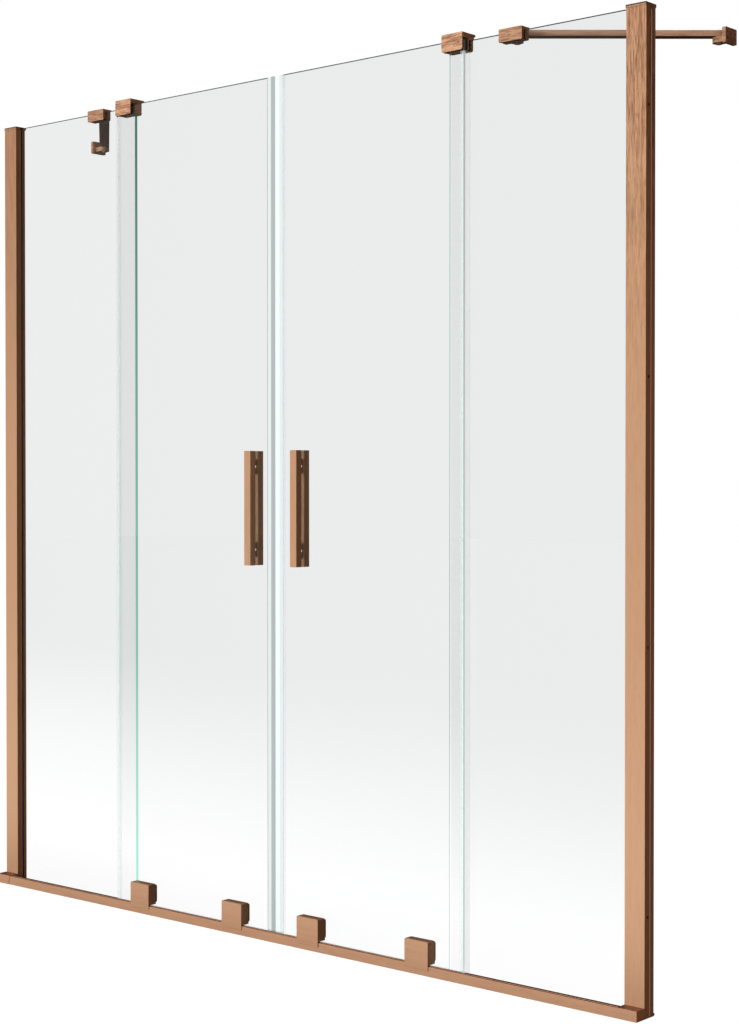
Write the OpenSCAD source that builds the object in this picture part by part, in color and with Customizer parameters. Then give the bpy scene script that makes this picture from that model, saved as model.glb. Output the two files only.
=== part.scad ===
// Sliding bath screen. Two fixed panes stand in wall posts on a bottom rail. Two door panes
// roll on the rail in front of them and meet in the middle. Two arms brace the fixed panes.
// Millimetres. X runs along the rail, +Y points into the bath, +Z is up. The origin is in the
// middle of the rail's underside, below the front face of the posts.

/* [Screen] */
// Distance between the two walls
screen_w = 1500; // [1440:10:1800]
// Height to the top of the post caps
screen_h = 1500; // [1300:10:1600]

/* [Panes] */
// Thickness of all four panes
glass_t = 6; // [5:0.5:7]
// Reach of a fixed pane from its wall
fixed_reach = 376; // [350:2:420]
// How far a closed door pane overlaps its fixed pane
door_overlap = 38; // [30:1:44]

/* [Wall posts] */
// Width of a post along the screen
post_w = 35; // [33:1:45]
// Depth of a post
post_d = 25; // [25:0.5:30]
// Wall thickness of the post profiles
post_wall = 1.6; // [1.4:0.1:1.8]
// Height of a post cap
cap_h = 5; // [4:0.5:8]

/* [Bottom rail] */
// Height of the rail's front face
rail_h = 16.5; // [15:0.5:18]
// Depth of the ledge that the wheels run on
ledge_d = 8; // [7.5:0.5:9]
// Radius of the bead that keeps the wheels in line
bead_r = 1; // [0.6:0.1:1.2]
// How far the left end piece stands proud of the rail
left_end_proud = 1.2; // [0:0.2:1.4]

/* [Rollers] */
// Radius of a wheel over its flanges
wheel_r = 12; // [10:0.5:12.5]
// Width of a roller cover
cover_w = 49; // [46:1:60]
// Height of a roller cover above the rail's underside
cover_top = 56; // [56:1:64]
// Distance from a door pane's edge to the middle of its nearest roller
roller_inset = 81; // [60:1:110]

/* [Handles] */
// Length of a handle bar
handle_l = 200; // [180:5:400]
// Width of a handle bar
handle_w = 15; // [13:0.5:18]
// Depth of a handle bar
handle_d = 13.5; // [11:0.5:15]
// Distance between the two feet of a bar
feet_pitch = 145; // [100:5:150]
// Height of the handle's middle
handle_z = 750; // [600:10:900]
// Distance from the middle of the screen to a handle
handle_x = 55; // [45:1:60]

/* [Top guides] */
// Width of a guide block
guide_w = 42; // [40:1:50]
// Height of a guide block without its cap
guide_h = 24.5; // [24:0.5:28]
// Thickness of a guide cap
guide_cap_t = 3.5; // [2.5:0.5:5]

/* [Support arms] */
// Distance from the wall to the pivot on the fixed pane
clamp_reach = 260; // [220:1:270]
// Distance from the pane's pivot to the wall's pivot, across the screen
arm_depth = 207; // [180:1:260]
// Width of an arm
arm_w = 20; // [18:1:22]
// Thickness of an arm
arm_t = 9.4; // [8:0.2:10]

/* [Hidden] */
// Gap between pieces that move past each other
run_gap = 0.3;
// Radial play of a pin in its bore
pin_play = 0.05;
// Radial play of a screw in its hole
screw_play = 0.05;

half_w = screen_w / 2;
post_h = screen_h - cap_h;

door_front = -4;
door_back = door_front + glass_t;
door_bottom = 8;
door_top = screen_h - 3.5;
fixed_front = 11;
fixed_back = fixed_front + glass_t;
fixed_bottom = 4;
fixed_top = screen_h - 3;
arris = 0.5;

gasket_t = 1;
gasket_lip = 1.4;
pocket_wall = 1.4;
pocket_in = 18.6;
pocket_u = post_w - pocket_in;
pane_gap = 1.2;
pane_u = pocket_u + pocket_wall + pane_gap;
pocket_front = fixed_front - gasket_t;
pocket_back = fixed_back + gasket_t;
channel_leg = 14;
channel_web = 1.8;
groove_w = 1.5;
groove_d = 0.6;
groove_y = 14.5;

wall_hole_r = 2.6;
wall_hole_y = 8.5;
wall_hole_pitch = 400;
cover_screw_r = 1.75;
cover_screw_u = 9;
cover_screw_z = [120, 720, 1260];

rail_front = -21;
rail_wall = 1.8;
rail_base = 2;
bead_in = 4;
bead_y = rail_front + bead_in;

seal_t = 1;
seal_nose = 10;
door_u = fixed_reach - door_overlap;
door_end_u = half_w - seal_nose;
block_u = [door_u + roller_inset, door_end_u - roller_inset];

cover_front = rail_front - 2;
cover_plate = 1.6;
cover_bottom = 9.5;
cover_side = 1.8;
cover_sill = 17.9;
cover_roof = 5.5;
wheel_z = rail_h + run_gap + wheel_r;
wheel_w = 5.4;
axle_r = 3;
carriage_w = 41;
carriage_t = 3;
backing_t = 3;
carriage_screw_r = 2.5;
carriage_screw_x = 13;
carriage_screw_drop = 12;
carriage_screw_z = cover_top - carriage_screw_drop;
carriage_z0 = rail_h + 2;
carriage_z1 = carriage_screw_z + 6;
backing_z0 = rail_h + 3.5;
backing_z1 = carriage_screw_z + 8;
bore_floor = 1;
axle_bore_y = door_front - bore_floor;

foot_t = 1.3;
foot_w = 12;
foot_h = 25;
bar_front_y = door_front - foot_t;
bar_back_y = door_back + foot_t;
bolt_r = 3;
bolt_in = 7;
grub_r = 1.5;
grub_in = 2.4;

guide_front = -7;
guide_back = 24;
guide_drop = 20;
guide_z = screen_h - guide_drop;
guide_lip = 2;
guide_slot_back = 6.5;
guide_slot_h = 20;
guide_slot_z = guide_z + guide_slot_h;
guide_u = fixed_reach + 4 - guide_w;
guide_overhang = 4;
liner_play = 0.35;
guide_screw_r = 2.4;
guide_screw_u = [guide_u + 10, guide_u + 30];
guide_screw_z = guide_z + 9;
peg_r = 2;
peg_u = [guide_u + 8, guide_u + guide_w - 8];
peg_y = guide_back - 4;

clamp_y = 36.5;
clamp_left = -15;
clamp_right = 30;
clamp_front = 5;
clamp_drop = 18;
clamp_z0 = screen_h - clamp_drop;
clamp_z1 = screen_h + 2.5;
pad_t = 0.6;
clamp_screw_r = 3;
clamp_screw_x = 20;
clamp_screw_z = screen_h - 10.5;
tongue_drop = 15.6;
tongue_z0 = screen_h - tongue_drop;
tongue_z1 = tongue_z0 + 8.9;
tongue_r = 10;
arm_z = tongue_z1 + run_gap;
wall_pivot_u = 22;
wall_pivot_y = clamp_y + arm_depth;
arm_l = norm([clamp_reach - wall_pivot_u, arm_depth]);
arm_angle = atan2(arm_depth, wall_pivot_u - clamp_reach);
pivot_r = 3;
bracket_t = 6.5;
bracket_w = 34;
bracket_z0 = tongue_z0 - 3.9;
bracket_h = 24.5;
bracket_hole_r = 2.2;
bracket_hole_y = 11;
bracket_hole_up = 18.8;
bracket_hole_z = bracket_z0 + bracket_hole_up;

copper = [0.74, 0.55, 0.42];
clear = [0.85, 0.93, 0.90, 0.4];
vinyl = [0.90, 0.91, 0.91];
steel = [0.72, 0.72, 0.72];
nylon = [0.22, 0.22, 0.22];
rubber = [0.20, 0.16, 0.14];

$fn = 16;

// Placing. A piece is drawn at its distance u from the wall, then set on its own side.
module on_side(side) {
    if (side < 0) {
        translate([-half_w, 0, 0])
            children();
    } else {
        mirror([1, 0, 0])
            translate([-half_w, 0, 0])
                children();
    }
}

// A section drawn in Y and Z, run along X.
module along_x(x0, length) {
    translate([x0, 0, 0])
        rotate([90, 0, 90])
            linear_extrude(length)
                children();
}

// A section drawn in X and Z, run along Y.
module along_y(y0, length) {
    translate([0, y0 + length, 0])
        rotate([90, 0, 0])
            linear_extrude(length)
                children();
}

// A section drawn in X and Y, run up Z.
module along_z(z0, length) {
    translate([0, 0, z0])
        linear_extrude(length)
            children();
}

module span(x0, x1, y0, y1) {
    translate([x0, y0])
        square([x1 - x0, y1 - y0]);
}

module box(x0, x1, y0, y1, z0, z1) {
    translate([x0, y0, z0])
        cube([x1 - x0, y1 - y0, z1 - z0]);
}

// A rectangle with four round corners.
module rounded(x0, x1, y0, y1, r) {
    span(x0 + r, x1 - r, y0, y1);
    span(x0, x1, y0 + r, y1 - r);
    for (x = [x0 + r, x1 - r])
        for (y = [y0 + r, y1 - r])
            translate([x, y])
                circle(r);
}

module rod_x(x0, x1, y, z, r) {
    translate([x0, y, z])
        rotate([0, 90, 0])
            cylinder(h = x1 - x0, r = r);
}

module rod_y(x, y0, y1, z, r) {
    translate([x, y0, z])
        rotate([-90, 0, 0])
            cylinder(h = y1 - y0, r = r);
}

module rod_z(x, y, z0, z1, r) {
    translate([x, y, z0])
        cylinder(h = z1 - z0, r = r);
}

// Wall posts
module wall_channel(side) {
    leg = 2 * post_wall;
    color(copper)
        on_side(side)
            difference() {
                along_z(0, post_h)
                    difference() {
                        span(0, channel_leg, post_wall, post_d - post_wall);
                        span(channel_web, channel_leg + 1, leg, post_d - leg);
                        span(-1, groove_d, groove_y - groove_w / 2, groove_y + groove_w / 2);
                    }
                for (k = [-1.5:1.5])
                    rod_x(-1, channel_web + 1, wall_hole_y, screen_h / 2 + k * wall_hole_pitch,
                          wall_hole_r);
                for (z = cover_screw_z)
                    rod_y(cover_screw_u, post_d - leg - 1, post_d, z,
                          cover_screw_r + screw_play);
            }
}

module cover_profile(side) {
    color(copper)
        on_side(side)
            difference() {
                along_z(0, post_h)
                    union() {
                        span(0, post_w, 0, post_wall);
                        span(0, post_w, post_d - post_wall, post_d);
                        difference() {
                            span(post_w - post_wall, post_w, 0, post_d);
                            span(pocket_u, post_w + 1, pocket_front, pocket_back);
                        }
                        difference() {
                            span(pocket_u, post_w, pocket_front - pocket_wall,
                                 pocket_back + pocket_wall);
                            span(pocket_u + pocket_wall, post_w + 1, pocket_front, pocket_back);
                        }
                    }
                for (z = cover_screw_z)
                    rod_y(cover_screw_u, post_d - post_wall - 0.5, post_d + 1, z,
                          cover_screw_r + screw_play);
            }
}

module profile_cap(side) {
    over = 1;
    over_back = 2.5;
    plug_in = 10;
    plug_t = 3;
    play = 0.4;
    color(copper)
        on_side(side) {
            difference() {
                along_z(post_h, cap_h)
                    union() {
                        rounded(0, post_w + over, -over, post_d + over_back, over);
                        span(0, over, -over, post_d + over_back);
                    }
                box(pocket_u + pocket_wall, post_w + 2, pocket_front, pocket_back,
                    post_h - 1, fixed_top + 1);
            }
            for (y = [post_wall + play, pocket_back + pocket_wall + play])
                box(pocket_u + play, post_w - post_wall - play, y, y + plug_t,
                    post_h - plug_in, post_h);
        }
}

module glazing_gaskets() {
    color(rubber)
        for (side = [-1, 1])
            on_side(side)
                along_z(fixed_bottom + 1, post_h - fixed_bottom - 1)
                    difference() {
                        span(pocket_u + pocket_wall, post_w + gasket_lip, pocket_front,
                             pocket_back);
                        span(pane_u, post_w + gasket_lip + 1, fixed_front, fixed_back);
                    }
}

// Each head has a crossed slot.
module profile_screws() {
    head_r = 3.4;
    head_t = 1.6;
    length = 5;
    slot_l = 2;
    slot_w = 0.4;
    slot_y = post_d + head_t - 0.9;
    color(steel)
        for (side = [-1, 1])
            on_side(side)
                for (z = cover_screw_z)
                    difference() {
                        union() {
                            rod_y(cover_screw_u, post_d - length, post_d, z, cover_screw_r);
                            rod_y(cover_screw_u, post_d, post_d + head_t, z, head_r);
                        }
                        for (cut = [[slot_l, slot_w], [slot_w, slot_l]])
                            box(cover_screw_u - cut[0], cover_screw_u + cut[0], slot_y,
                                post_d + head_t + 1, z - cut[1], z + cut[1]);
                    }
}

// Bottom rail. The doors' wheels run on the track, which leans against the sill.
module rail_track() {
    edge_r = 0.8;
    back = rail_front + ledge_d;
    color(copper)
        along_x(post_w - half_w, screen_w - 2 * post_w)
            union() {
                span(rail_front, back, 0, rail_base);
                span(rail_front, rail_front + rail_wall, 0, rail_h - edge_r);
                span(back - rail_wall, back, 0, rail_h);
                span(rail_front, back, rail_h - rail_wall, rail_h - edge_r);
                span(rail_front + edge_r, back, rail_h - rail_wall, rail_h);
                translate([rail_front + edge_r, rail_h - edge_r])
                    circle(edge_r);
                translate([bead_y, rail_h])
                    circle(bead_r);
            }
}

// The sill holds the gaskets under the fixed panes.
module rail_sill() {
    front_z = 9;
    rear_z = 6.3;
    lip_z = 4;
    color(copper)
        along_x(post_w - half_w, screen_w - 2 * post_w)
            union() {
                span(rail_front + ledge_d, post_d, 0, rail_base);
                span(pocket_front - rail_wall, pocket_front, 0, front_z);
                span(pocket_back, pocket_back + rail_wall, 0, rear_z);
                span(post_d - post_wall, post_d, 0, lip_z);
            }
}

// An end piece fills the corner in front of a post and plugs into the rail's front chamber.
module rail_end(side, proud) {
    plug = 12;
    slack = 0.1;
    color(copper)
        on_side(side) {
            box(0, post_w, rail_front - proud, 0, 0, rail_h + proud);
            box(post_w, post_w + plug, rail_front + rail_wall + slack,
                rail_front + ledge_d - rail_wall - slack, rail_base + slack,
                rail_h - rail_wall - slack);
        }
}

module rail_gaskets() {
    end_gap = 0.2;
    start = post_w + gasket_lip + end_gap;
    front_z = 9.6;
    rear_z = 6.9;
    color(rubber)
        for (side = [-1, 1])
            on_side(side)
                along_x(start, fixed_reach - start) {
                    span(pocket_front, pocket_back, rail_base, fixed_bottom);
                    span(pocket_front, fixed_front, rail_base, front_z);
                    span(fixed_back, pocket_back, rail_base, rear_z);
                }
}

module fixed_glass(side) {
    color(clear)
        on_side(side)
            along_z(fixed_bottom, fixed_top - fixed_bottom)
                polygon([
                    [pane_u, fixed_front],
                    [fixed_reach - arris, fixed_front],
                    [fixed_reach, fixed_front + arris],
                    [fixed_reach, fixed_back - arris],
                    [fixed_reach - arris, fixed_back],
                    [pane_u, fixed_back]
                ]);
}

// Top guides
module guide_block(side) {
    corner = 3;
    peg_hole = 5;
    u1 = guide_u + guide_w;
    top = guide_z + guide_h;
    slot_back = guide_slot_back;
    color(copper)
        on_side(side)
            difference() {
                along_y(guide_front, guide_back - guide_front)
                    union() {
                        rounded(guide_u, u1, guide_z, top, corner);
                        span(guide_u, u1, guide_z + corner, top);
                    }
                box(guide_u - 1, u1 + 1, guide_front + guide_lip, slot_back, guide_z - 1,
                    guide_slot_z);
                box(guide_u - 1, fixed_reach, fixed_front, fixed_back, guide_z - 1, fixed_top);
                for (u = guide_screw_u)
                    rod_y(u, fixed_back - 1, guide_back + 1, guide_screw_z,
                          guide_screw_r + screw_play);
                for (u = peg_u)
                    rod_z(u, peg_y, top - peg_hole, top + 1, peg_r + screw_play);
            }
}

module guide_liners() {
    short = 0.4;
    head_room = 0.5;
    color(nylon)
        for (side = [-1, 1])
            on_side(side)
                along_x(guide_u, guide_w)
                    difference() {
                        span(guide_front + guide_lip, guide_slot_back, guide_z + short,
                             guide_slot_z);
                        span(door_front - liner_play, door_back + liner_play, guide_z - 1,
                             door_top + head_room);
                    }
}

module guide_caps() {
    edge_r = 0.8;
    peg_l = 4.5;
    top = guide_z + guide_h;
    color(copper)
        for (side = [-1, 1])
            on_side(side) {
                along_z(top, guide_cap_t)
                    rounded(guide_u, guide_u + guide_w, guide_front, guide_back + guide_overhang,
                            edge_r);
                for (u = peg_u)
                    rod_z(u, peg_y, top - peg_l, top, peg_r);
            }
}

// Set screws with six-sided sockets press the block onto the pane.
module guide_screws() {
    back = guide_back + 0.8;
    socket_d = 2.3;
    socket_r = 1.4;
    color(steel)
        for (side = [-1, 1])
            on_side(side)
                for (u = guide_screw_u)
                    difference() {
                        rod_y(u, fixed_back, back, guide_screw_z, guide_screw_r);
                        rod_y(u, back - socket_d, back + 1, guide_screw_z, socket_r, $fn = 6);
                    }
}

// Support arms. The same clamp and the same arm serve both sides.
module at_clamp(side) {
    translate([side * (half_w - clamp_reach), clamp_y, 0])
        children();
}

module arm_clamp(side) {
    corner = 1.5;
    back = clamp_y - tongue_r - run_gap;
    color(copper)
        at_clamp(side)
            difference() {
                union() {
                    along_y(clamp_front - clamp_y, back - clamp_front)
                        rounded(clamp_left, clamp_right, clamp_z0, clamp_z1, corner);
                    box(-tongue_r, tongue_r, back - clamp_y - 1, 0, tongue_z0, tongue_z1);
                    rod_z(0, 0, tongue_z0, tongue_z1, tongue_r);
                }
                box(clamp_left - 1, clamp_right + 1, fixed_front - pad_t - clamp_y,
                    fixed_back + pad_t - clamp_y, clamp_z0 - 1, fixed_top + pad_t);
                rod_y(clamp_screw_x, fixed_back - clamp_y, 0, clamp_screw_z,
                      clamp_screw_r + screw_play);
                rod_z(0, 0, tongue_z0 - 1, tongue_z1 + 1, pivot_r + pin_play);
            }
}

module clamp_pads() {
    inset = 0.5;
    lift = 1;
    color(vinyl)
        for (side = [-1, 1])
            at_clamp(side)
                along_x(clamp_left + inset, clamp_right - clamp_left - 2 * inset)
                    translate([-clamp_y, 0])
                        difference() {
                            span(fixed_front - pad_t, fixed_back + pad_t, clamp_z0 + lift,
                                 fixed_top + pad_t);
                            span(fixed_front, fixed_back, clamp_z0, fixed_top);
                        }
}

module clamp_screws() {
    back = -9.5;
    socket_d = 2.5;
    socket_r = 1.7;
    color(steel)
        for (side = [-1, 1])
            at_clamp(side)
                difference() {
                    rod_y(clamp_screw_x, fixed_back + pad_t - clamp_y, back, clamp_screw_z,
                          clamp_screw_r);
                    rod_y(clamp_screw_x, back - socket_d, back + 1, clamp_screw_z, socket_r,
                          $fn = 6);
                }
}

// The arm is drawn along +X from the clamp's pivot, then swung towards its wall.
module at_arm(side) {
    at_clamp(side)
        rotate([0, 0, side < 0 ? arm_angle : 180 - arm_angle])
            children();
}

module arm(side) {
    color(copper)
        at_arm(side)
            difference() {
                union() {
                    box(0, arm_l, -arm_w / 2, arm_w / 2, arm_z, arm_z + arm_t);
                    for (x = [0, arm_l])
                        rod_z(x, 0, arm_z, arm_z + arm_t, arm_w / 2);
                }
                for (x = [0, arm_l])
                    rod_z(x, 0, arm_z - 1, arm_z + arm_t + 1, pivot_r + screw_play);
            }
}

// Each pin is tight in the arm, turns in the tongue below and ends in a nut under it.
module arm_pins(side) {
    head_r = 5;
    head_t = 1.6;
    nut_t = 1.8;
    socket_d = 2.4;
    socket_r = 1.9;
    top = arm_z + arm_t + head_t;
    nut_z = tongue_z0 - run_gap;
    color(steel)
        at_arm(side)
            for (x = [0, arm_l])
                difference() {
                    union() {
                        rod_z(x, 0, nut_z, top - head_t, pivot_r);
                        rod_z(x, 0, top - head_t, top, head_r);
                        rod_z(x, 0, nut_z - nut_t, nut_z, head_r, $fn = 6);
                    }
                    rod_z(x, 0, top - socket_d, top + 1, socket_r, $fn = 6);
                }
}

module wall_bracket(side) {
    corner = 1.5;
    color(copper)
        on_side(side)
            difference() {
                union() {
                    translate([0, wall_pivot_y, 0])
                        along_x(0, bracket_t)
                            rounded(-bracket_w / 2, bracket_w / 2, bracket_z0,
                                    bracket_z0 + bracket_h, corner);
                    box(bracket_t - 1, wall_pivot_u, wall_pivot_y - tongue_r,
                        wall_pivot_y + tongue_r, tongue_z0, tongue_z1);
                    rod_z(wall_pivot_u, wall_pivot_y, tongue_z0, tongue_z1, tongue_r);
                }
                rod_z(wall_pivot_u, wall_pivot_y, tongue_z0 - 1, tongue_z1 + 1,
                      pivot_r + pin_play);
                for (s = [-1, 1])
                    rod_x(-1, bracket_t + 1, wall_pivot_y + s * bracket_hole_y, bracket_hole_z,
                          bracket_hole_r);
            }
}

// Doors
module door_glass(side) {
    handle_u = half_w - handle_x;
    handle_hole_r = bolt_r + 1;
    screw_hole_r = carriage_screw_r + 0.8;
    color(clear)
        on_side(side)
            difference() {
                along_z(door_bottom, door_top - door_bottom)
                    polygon([
                        [door_u, door_front + arris],
                        [door_u + arris, door_front],
                        [door_end_u, door_front],
                        [door_end_u, door_back],
                        [door_u + arris, door_back],
                        [door_u, door_back - arris]
                    ]);
                for (s = [-1, 1])
                    rod_y(handle_u, door_front - 1, door_back + 1, handle_z + s * feet_pitch / 2,
                          handle_hole_r);
                for (u = block_u)
                    for (s = [-1, 1])
                        rod_y(u + s * carriage_screw_x, door_front - 1, door_back + 1,
                              carriage_screw_z, screw_hole_r);
            }
}

// The fin closes the gap to the fixed pane.
module outer_seal(side) {
    leg = 5.5;
    web = 1.4;
    bottom = 11;
    top_gap = 2;
    fin_u = 2.8;
    fin_t = 1;
    fin_tilt = 0.4;
    tip = fixed_front - run_gap;
    color(vinyl)
        on_side(side)
            along_z(bottom, guide_z - top_gap - bottom)
                union() {
                    span(door_u - web, door_u + leg, door_front - seal_t, door_front);
                    span(door_u - web, door_u + leg, door_back, door_back + seal_t);
                    span(door_u - web, door_u, door_front - seal_t, door_back + seal_t);
                    polygon([
                        [door_u - web, door_back],
                        [door_u, door_back + seal_t],
                        [door_u - fin_u, tip],
                        [door_u - fin_u - fin_t, tip - fin_tilt]
                    ]);
                }
}

// The seal's nose has an empty chamber against the glass and a magnet strip in the outer one.
module magnet_seal(side) {
    leg = 9;
    wall = 1.2;
    strip_w = 3.2;
    strip_play = 0.05;
    rib = 0.8;
    skin = 0.4;
    bottom = door_bottom + 2;
    end = half_w - run_gap / 2;
    strip_u = end - wall - strip_w;
    inner_front = door_front + skin;
    inner_back = door_back - skin;
    color(vinyl)
        on_side(side) {
            along_z(bottom, door_top - bottom)
                difference() {
                    union() {
                        span(door_end_u - leg, end, door_front - seal_t, door_front);
                        span(door_end_u - leg, end, door_back, door_back + seal_t);
                        span(door_end_u, end, door_front - seal_t, door_back + seal_t);
                    }
                    span(door_end_u + wall, strip_u - rib, inner_front, inner_back);
                    span(strip_u, end - wall, inner_front, inner_back);
                }
            along_z(bottom, door_top - bottom)
                span(strip_u + strip_play, end - wall - strip_play, inner_front + strip_play,
                     inner_back - strip_play);
        }
}

// The fin stops just above the rail's floor.
module bottom_seal(side) {
    legs_z = 14;
    web_z = door_bottom - 1.2;
    from_outer = 6;
    from_inner = 10;
    mid = (door_front + door_back) / 2;
    color(vinyl)
        on_side(side)
            along_x(door_u + from_outer, door_end_u - from_inner - door_u - from_outer)
                union() {
                    span(door_front - seal_t, door_back + seal_t, web_z, door_bottom);
                    span(door_front - seal_t, door_front, web_z, legs_z);
                    span(door_back, door_back + seal_t, web_z, legs_z);
                    span(mid - seal_t / 2, mid + seal_t / 2, rail_base + run_gap, web_z);
                }
}

// Handles. A bar reaches away from the pane in direction dir, from the face at y0.
module handle_bar(side, y0, dir) {
    edge_r = 0.6;
    u = half_w - handle_x;
    far = y0 + dir * handle_d;
    grub_y = y0 + dir * grub_in;
    grub_dir = -side;
    color(copper)
        on_side(side)
            difference() {
                along_z(handle_z - handle_l / 2, handle_l)
                    rounded(u - handle_w / 2, u + handle_w / 2, min(y0, far), max(y0, far),
                            edge_r);
                for (s = [-1, 1]) {
                    z = handle_z + s * feet_pitch / 2;
                    rod_y(u, min(y0 - dir, y0 + dir * bolt_in), max(y0 - dir, y0 + dir * bolt_in),
                          z, bolt_r + screw_play);
                    rod_x(min(u, u + grub_dir * (handle_w / 2 + 1)),
                          max(u, u + grub_dir * (handle_w / 2 + 1)),
                          grub_y, z, grub_r + screw_play);
                }
            }
}

// Flat feet between the bars and the pane, each with a collar in the pane's hole.
module handle_feet(side) {
    u = half_w - handle_x;
    corner = 2;
    collar_t = 2.5;
    collar_r = bolt_r + 0.9;
    color(nylon)
        on_side(side)
            for (s = [-1, 1])
                for (face = [0, 1]) {
                    z = handle_z + s * feet_pitch / 2;
                    y = face == 0 ? bar_front_y : door_back;
                    collar = face == 0 ? door_front : door_back - collar_t;
                    difference() {
                        union() {
                            along_y(y, foot_t)
                                rounded(u - foot_w / 2, u + foot_w / 2, z - foot_h / 2,
                                        z + foot_h / 2, corner);
                            rod_y(u, collar, collar + collar_t, z, collar_r);
                        }
                        rod_y(u, bar_front_y - 1, bar_back_y + 1, z, bolt_r + screw_play);
                    }
                }
}

// Two studs through the pane, each held by a grub screw in either bar.
module handle_fixings(side) {
    u = half_w - handle_x;
    grub_dir = -side;
    sunk = 0.4;
    socket_d = 1.5;
    socket_r = 0.8;
    near = u + grub_dir * bolt_r;
    far = u + grub_dir * (handle_w / 2 - sunk);
    socket_end = far + grub_dir;
    socket = far - grub_dir * socket_d;
    color(steel)
        on_side(side)
            for (s = [-1, 1]) {
                z = handle_z + s * feet_pitch / 2;
                rod_y(u, bar_front_y - bolt_in, bar_back_y + bolt_in, z, bolt_r);
                for (y = [bar_front_y - grub_in, bar_back_y + grub_in])
                    difference() {
                        rod_x(min(near, far), max(near, far), y, z, grub_r);
                        rod_x(min(socket, socket_end), max(socket, socket_end), y, z, socket_r,
                              $fn = 6);
                    }
            }
}

// Rollers. Each cover hides a carriage, an axle and a wheel.
module roller_covers(side) {
    half = cover_w / 2;
    corner = 2.5;
    edge_r = 1;
    back_r = 4;
    color(copper)
        on_side(side)
            for (u = block_u)
                translate([u, 0, 0])
                    difference() {
                        intersection() {
                            along_y(cover_front, door_front - cover_front)
                                union() {
                                    rounded(-half, half, cover_bottom, cover_top, corner);
                                    span(-half, half, cover_bottom, cover_bottom + corner);
                                }
                            along_x(-half, cover_w)
                                union() {
                                    span(cover_front, cover_front + edge_r, cover_bottom,
                                         cover_top - edge_r);
                                    span(cover_front + edge_r, door_front - back_r,
                                         cover_bottom, cover_top);
                                    span(cover_front + edge_r, door_front, cover_bottom,
                                         cover_top - back_r);
                                    translate([cover_front + edge_r, cover_top - edge_r])
                                        circle(edge_r);
                                    translate([door_front - back_r, cover_top - back_r])
                                        circle(back_r);
                                }
                        }
                        box(-half - 1, half + 1, cover_front + cover_plate, door_front + 1,
                            cover_bottom - 1, cover_sill);
                        box(-half + cover_side, half - cover_side, cover_front + cover_plate,
                            door_front + 1, cover_bottom - 1, cover_top - cover_roof);
                    }
}

module carriages(side) {
    corner = 3;
    boss_r = 6;
    boss_front = bead_y + wheel_w / 2 + run_gap;
    color(nylon)
        on_side(side)
            for (u = block_u)
                translate([u, 0, 0])
                    difference() {
                        union() {
                            along_y(door_front - carriage_t, carriage_t)
                                rounded(-carriage_w / 2, carriage_w / 2, carriage_z0,
                                        carriage_z1, corner);
                            rod_y(0, boss_front, axle_bore_y, wheel_z, boss_r);
                        }
                        rod_y(0, boss_front - 1, axle_bore_y, wheel_z, axle_r + screw_play);
                        for (s = [-1, 1])
                            rod_y(s * carriage_screw_x, door_front - carriage_t - 1,
                                  door_front + 1, carriage_screw_z,
                                  carriage_screw_r + screw_play);
                    }
}

module backing_plates(side) {
    corner = 3;
    color(nylon)
        on_side(side)
            for (u = block_u)
                translate([u, 0, 0])
                    difference() {
                        along_y(door_back, backing_t)
                            rounded(-carriage_w / 2, carriage_w / 2, backing_z0, backing_z1,
                                    corner);
                        for (s = [-1, 1])
                            rod_y(s * carriage_screw_x, door_back - 1,
                                  door_back + backing_t + 1, carriage_screw_z,
                                  carriage_screw_r + screw_play);
                    }
}

module carriage_screws(side) {
    head_r = 4.2;
    head_t = 2.6;
    socket_d = 1.6;
    socket_r = 1.7;
    seat = door_front - carriage_t;
    color(steel)
        on_side(side)
            for (u = block_u)
                for (s = [-1, 1])
                    translate([u + s * carriage_screw_x, 0, 0])
                        difference() {
                            union() {
                                rod_y(0, seat - head_t, seat, carriage_screw_z, head_r);
                                rod_y(0, seat, door_back + backing_t, carriage_screw_z,
                                      carriage_screw_r);
                            }
                            rod_y(0, seat - head_t - 1, seat - head_t + socket_d,
                                  carriage_screw_z, socket_r, $fn = 6);
                        }
}

module axles(side) {
    head_r = 4.6;
    head_t = 1.1;
    end_gap = 0.2;
    wheel_front = bead_y - wheel_w / 2 - run_gap;
    color(steel)
        on_side(side)
            for (u = block_u) {
                rod_y(u, wheel_front - head_t, wheel_front, wheel_z, head_r);
                rod_y(u, wheel_front, axle_bore_y - end_gap, wheel_z, axle_r);
            }
}

// The groove clears the rail's bead all round.
module wheel(side, u) {
    recess = 0.9;
    hub_t = 2;
    rim_t = 2.6;
    color(vinyl)
        on_side(side)
            translate([u, bead_y, wheel_z])
                rotate([90, 0, 0])
                    rotate_extrude($fn = 24)
                        difference() {
                            span(axle_r + pin_play, wheel_r, -wheel_w / 2, wheel_w / 2);
                            for (s = [-1, 1])
                                span(axle_r + hub_t, wheel_r - rim_t,
                                     s * wheel_w / 2 - recess, s * wheel_w / 2 + recess);
                            translate([wheel_r + run_gap, 0])
                                circle(bead_r + run_gap);
                        }
}

// One module per piece
module left_wall_channel() { wall_channel(-1); }
module right_wall_channel() { wall_channel(1); }
module left_cover_profile() { cover_profile(-1); }
module right_cover_profile() { cover_profile(1); }
module left_profile_cap() { profile_cap(-1); }
module right_profile_cap() { profile_cap(1); }
module left_rail_end() { rail_end(-1, left_end_proud); }
module right_rail_end() { rail_end(1, 0); }
module left_fixed_glass() { fixed_glass(-1); }
module right_fixed_glass() { fixed_glass(1); }
module left_guide_block() { guide_block(-1); }
module right_guide_block() { guide_block(1); }
module left_arm_clamp() { arm_clamp(-1); }
module right_arm_clamp() { arm_clamp(1); }
module left_door_glass() { door_glass(-1); }
module right_door_glass() { door_glass(1); }
module left_outer_seal() { outer_seal(-1); }
module right_outer_seal() { outer_seal(1); }
module left_magnet_seal() { magnet_seal(-1); }
module right_magnet_seal() { magnet_seal(1); }
module left_bottom_seal() { bottom_seal(-1); }
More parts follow.
